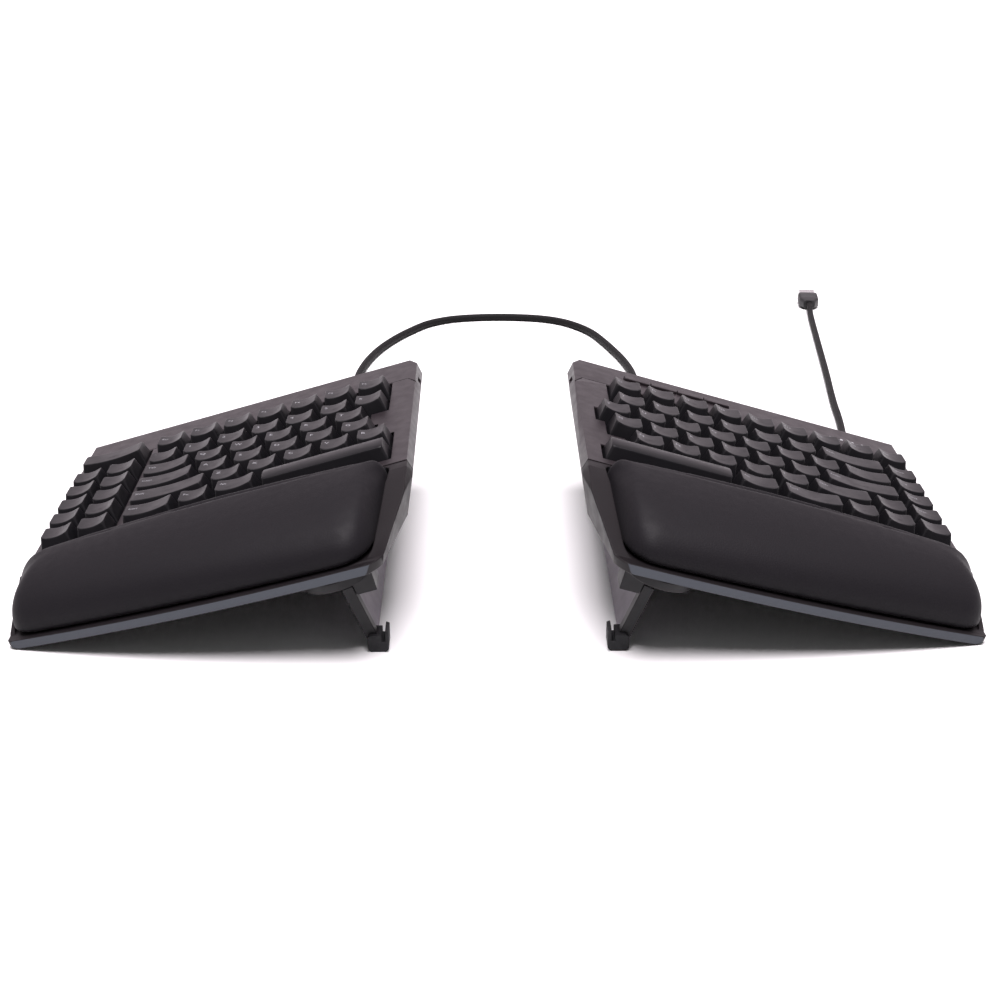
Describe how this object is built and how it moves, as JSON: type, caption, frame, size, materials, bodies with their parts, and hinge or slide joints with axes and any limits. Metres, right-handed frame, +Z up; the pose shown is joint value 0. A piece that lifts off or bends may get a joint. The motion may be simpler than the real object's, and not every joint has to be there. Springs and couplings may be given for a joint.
{
  "type": "ergonomic split keyboard",
  "caption": "Mechanical keyboard in two tented halves joined by a cable, with cushioned palm rests, folding lift legs, sliding keys and profile buttons, and a corded plug.",
  "frame": {"origin": "on the desk under the middle of the two halves", "axes": "+X along the key rows towards the right half, +Y away from the typist, +Z up"},
  "size_m": [0.4895, 0.6412, 0.0824],
  "materials": {
    "case_grey": "fine matte grain",
    "case_dark": "fine matte grain",
    "plate_black": "satin black",
    "board_green": "solder mask",
    "switch_clear": "milky, half clear",
    "screw_steel": "plain",
    "pad_black": "smooth, low sheen",
    "bracket_black": "matte",
    "leg_grey": "matte",
    "rubber_black": "matte",
    "cord_black": "fine braid",
    "tie_black": "hook and loop tape",
    "plug_black": "moulded grip with a steel shell",
    "light_clear": "clear",
    "key_black": "matte with slightly lighter worn tops"
  },
  "bodies": {
    "left_half": {"left_top_case": "case_grey", "left_bottom_case": "case_dark", "left_switch_plate": "plate_black", "left_circuit_board": "board_green", "left_switches": "switch_clear", "left_case_screws": "screw_steel", "left_palm_tray": "case_dark", "left_palm_pad": "pad_black", "left_lift_bracket": "bracket_black", "left_leg_pin": "screw_steel", "left_edge_feet": "rubber_black", "left_cable_gland": "rubber_black", "bridge_cable": "cord_black"},
    "left_leg": {"left_lift_leg": "leg_grey", "left_leg_feet": "rubber_black"},
    "right_half": {"right_top_case": "case_grey", "right_bottom_case": "case_dark", "right_switch_plate": "plate_black", "right_circuit_board": "board_green", "right_switches": "switch_clear", "right_case_screws": "screw_steel", "right_palm_tray": "case_dark", "right_palm_pad": "pad_black", "right_lift_bracket": "bracket_black", "right_leg_pin": "screw_steel", "right_edge_feet": "rubber_black", "right_cable_gland": "rubber_black", "usb_gland": "rubber_black", "usb_lead": "cord_black", "usb_coil": "cord_black", "coil_tie": "tie_black", "usb_cable": "cord_black", "usb_plug": "plug_black", "indicator_lights": "light_clear"},
    "right_leg": {"right_lift_leg": "leg_grey", "right_leg_feet": "rubber_black"},
    "button_1": {"profile_button_1": "case_grey"},
    "button_2": {"profile_button_2": "case_grey"},
    "button_3": {"profile_button_3": "case_grey"},
    "button_4": {"profile_button_4": "case_grey"},
    "macro_keys_body": {"macro_keys": "key_black"},
    "left_function_keys_body": {"left_function_keys": "key_black"},
    "left_number_keys_body": {"left_number_keys": "key_black"},
    "left_upper_keys_body": {"left_upper_keys": "key_black"},
    "left_home_keys_body": {"left_home_keys": "key_black"},
    "left_lower_keys_body": {"left_lower_keys": "key_black"},
    "left_shift_key_body": {"left_shift_key": "key_black"},
    "left_modifier_keys_body": {"left_modifier_keys": "key_black"},
    "left_space_key_body": {"left_space_key": "key_black"},
    "right_function_keys_body": {"right_function_keys": "key_black"},
    "right_number_keys_body": {"right_number_keys": "key_black"},
    "right_upper_keys_body": {"right_upper_keys": "key_black"},
    "right_home_keys_body": {"right_home_keys": "key_black"},
    "enter_key_body": {"enter_key": "key_black"},
    "right_lower_keys_body": {"right_lower_keys": "key_black"},
    "right_shift_key_body": {"right_shift_key": "key_black"},
    "right_modifier_keys_body": {"right_modifier_keys": "key_black"},
    "right_space_key_body": {"right_space_key": "key_black"},
    "arrow_keys_body": {"arrow_keys": "key_black"},
    "navigation_keys_body": {"navigation_keys": "key_black"}
  },
  "joints": [
    {"name": "half_spacing", "type": "slide", "parent": "left_half", "child": "right_half", "axis": [1, 0, 0], "range_m": [-0.07, 0.1], "deforming": ["bridge_cable"]},
    {"name": "left_leg_fold", "type": "hinge", "parent": "left_half", "child": "left_leg", "pos_m": [-0.07211, 0, 0.03553], "axis": [0, 1, 0], "range_deg": [0, 98]},
    {"name": "right_leg_fold", "type": "hinge", "parent": "right_half", "child": "right_leg", "pos_m": [0.07211, 0, 0.03553], "axis": [0, -1, 0], "range_deg": [0, 98]},
    {"name": "button_1_press", "type": "slide", "parent": "right_half", "child": "button_1", "axis": [-0.2756, 0, -0.9613], "range_m": [0, 0.0008], "stiffness_N_per_m": 150, "springref_m": -0.002},
    {"name": "button_2_press", "type": "slide", "parent": "right_half", "child": "button_2", "axis": [-0.2756, 0, -0.9613], "range_m": [0, 0.0008], "stiffness_N_per_m": 150, "springref_m": -0.002},
    {"name": "button_3_press", "type": "slide", "parent": "right_half", "child": "button_3", "axis": [-0.2756, 0, -0.9613], "range_m": [0, 0.0008], "stiffness_N_per_m": 150, "springref_m": -0.002},
    {"name": "button_4_press", "type": "slide", "parent": "right_half", "child": "button_4", "axis": [-0.2756, 0, -0.9613], "range_m": [0, 0.0008], "stiffness_N_per_m": 150, "springref_m": -0.002},
    {"name": "macro_keys_press", "type": "slide", "parent": "left_half", "child": "macro_keys_body", "axis": [0.2756, 0, -0.9613], "range_m": [0, 0.004], "stiffness_N_per_m": 825, "springref_m": -0.004},
    {"name": "left_function_keys_press", "type": "slide", "parent": "left_half", "child": "left_function_keys_body", "axis": [0.2756, 0, -0.9613], "range_m": [0, 0.004], "stiffness_N_per_m": 525, "springref_m": -0.004},
    {"name": "left_number_keys_press", "type": "slide", "parent": "left_half", "child": "left_number_keys_body", "axis": [0.2756, 0, -0.9613], "range_m": [0, 0.004], "stiffness_N_per_m": 525, "springref_m": -0.004},
    {"name": "left_upper_keys_press", "type": "slide", "parent": "left_half", "child": "left_upper_keys_body", "axis": [0.2756, 0, -0.9613], "range_m": [0, 0.004], "stiffness_N_per_m": 450, "springref_m": -0.004},
    {"name": "left_home_keys_press", "type": "slide", "parent": "left_half", "child": "left_home_keys_body", "axis": [0.2756, 0, -0.9613], "range_m": [0, 0.004], "stiffness_N_per_m": 450, "springref_m": -0.004},
    {"name": "left_lower_keys_press", "type": "slide", "parent": "left_half", "child": "left_lower_keys_body", "axis": [0.2756, 0, -0.9613], "range_m": [0, 0.004], "stiffness_N_per_m": 375, "springref_m": -0.004},
    {"name": "left_shift_key_press", "type": "slide", "parent": "left_half", "child": "left_shift_key_body", "axis": [0.2756, 0, -0.9613], "range_m": [0, 0.004], "stiffness_N_per_m": 75, "springref_m": -0.004},
    {"name": "left_modifier_keys_press", "type": "slide", "parent": "left_half", "child": "left_modifier_keys_body", "axis": [0.2756, 0, -0.9613], "range_m": [0, 0.004], "stiffness_N_per_m": 225, "springref_m": -0.004},
    {"name": "left_space_key_press", "type": "slide", "parent": "left_half", "child": "left_space_key_body", "axis": [0.2756, 0, -0.9613], "range_m": [0, 0.004], "stiffness_N_per_m": 75, "springref_m": -0.004},
    {"name": "right_function_keys_press", "type": "slide", "parent": "right_half", "child": "right_function_keys_body", "axis": [-0.2756, 0, -0.9613], "range_m": [0, 0.004], "stiffness_N_per_m": 675, "springref_m": -0.004},
    {"name": "right_number_keys_press", "type": "slide", "parent": "right_half", "child": "right_number_keys_body", "axis": [-0.2756, 0, -0.9613], "range_m": [0, 0.004], "stiffness_N_per_m": 525, "springref_m": -0.004},
    {"name": "right_upper_keys_press", "type": "slide", "parent": "right_half", "child": "right_upper_keys_body", "axis": [-0.2756, 0, -0.9613], "range_m": [0, 0.004], "stiffness_N_per_m": 600, "springref_m": -0.004},
    {"name": "right_home_keys_press", "type": "slide", "parent": "right_half", "child": "right_home_keys_body", "axis": [-0.2756, 0, -0.9613], "range_m": [0, 0.004], "stiffness_N_per_m": 450, "springref_m": -0.004},
    {"name": "enter_key_press", "type": "slide", "parent": "right_half", "child": "enter_key_body", "axis": [-0.2756, 0, -0.9613], "range_m": [0, 0.004], "stiffness_N_per_m": 75, "springref_m": -0.004},
    {"name": "right_lower_keys_press", "type": "slide", "parent": "right_half", "child": "right_lower_keys_body", "axis": [-0.2756, 0, -0.9613], "range_m": [0, 0.004], "stiffness_N_per_m": 375, "springref_m": -0.004},
    {"name": "right_shift_key_press", "type": "slide", "parent": "right_half", "child": "right_shift_key_body", "axis": [-0.2756, 0, -0.9613], "range_m": [0, 0.004], "stiffness_N_per_m": 75, "springref_m": -0.004},
    {"name": "right_modifier_keys_press", "type": "slide", "parent": "right_half", "child": "right_modifier_keys_body", "axis": [-0.2756, 0, -0.9613], "range_m": [0, 0.004], "stiffness_N_per_m": 150, "springref_m": -0.004},
    {"name": "right_space_key_press", "type": "slide", "parent": "right_half", "child": "right_space_key_body", "axis": [-0.2756, 0, -0.9613], "range_m": [0, 0.004], "stiffness_N_per_m": 75, "springref_m": -0.004},
    {"name": "arrow_keys_press", "type": "slide", "parent": "right_half", "child": "arrow_keys_body", "axis": [-0.2756, 0, -0.9613], "range_m": [0, 0.004], "stiffness_N_per_m": 300, "springref_m": -0.004},
    {"name": "navigation_keys_press", "type": "slide", "parent": "right_half", "child": "navigation_keys_body", "axis": [-0.2756, 0, -0.9613], "range_m": [0, 0.004], "stiffness_N_per_m": 300, "springref_m": -0.004}
  ]
}
